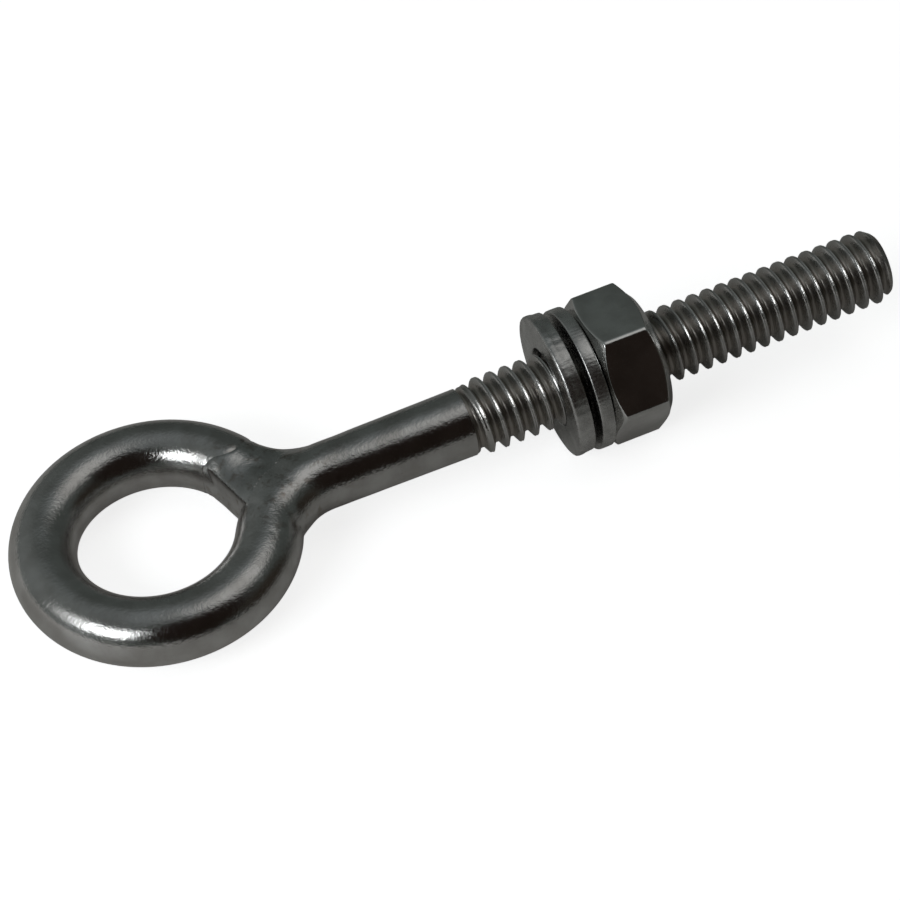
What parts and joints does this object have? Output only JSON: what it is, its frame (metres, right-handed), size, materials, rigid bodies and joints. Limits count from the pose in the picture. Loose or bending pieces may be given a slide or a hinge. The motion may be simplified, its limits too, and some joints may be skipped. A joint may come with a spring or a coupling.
{
  "type": "eye bolt",
  "caption": "Welded round eye on a threaded rod with hex nut, split lock washer and flat washer, for tying or lifting light loads.",
  "frame": {"origin": "centre of the eye, in the middle of its thickness and on the bolt's axis", "axes": "+X along the bolt, from the eye to the tip of the thread; +Z square to the plane of the eye"},
  "size_m": [0.0743, 0.023, 0.0119],
  "materials": {
    "bar_steel": "polished stainless steel bar, bright where round, with faint draw marks",
    "weld_steel": "weld metal, dressed and polished with the bar, slightly duller, with small pits",
    "nut_steel": "smooth bright stainless steel with chamfered corners",
    "washer_steel": "stamped and rolled stainless steel, satin faces and rough sheared rims"
  },
  "bodies": {
    "eye_bolt": {"eye_rod": "bar_steel", "weld": "weld_steel"},
    "lock_washer": {"lock_washer": "washer_steel"},
    "nut": {"hex_nut": "nut_steel"},
    "flat_washer": {"flat_washer": "washer_steel"}
  },
  "joints": [
    {"name": "lock_washer_slide", "type": "slide", "parent": "eye_bolt", "child": "lock_washer", "axis": [1, 0, 0], "range_m": [-0.00889, 0.02032]},
    {"name": "nut_turn", "type": "hinge", "parent": "lock_washer", "child": "nut", "pos_m": [0.0394, 0, 0], "axis": [1, 0, 0], "range_deg": [-2521, 5761]},
    {"name": "flat_washer_slide", "type": "slide", "parent": "lock_washer", "child": "flat_washer", "axis": [1, 0, 0], "range_m": [-0.009, 0.0001]}
  ],
  "couplings": [
    {"joint": "nut_turn", "follows": "lock_washer_slide", "rad_per_m": 4947.4}
  ]
}
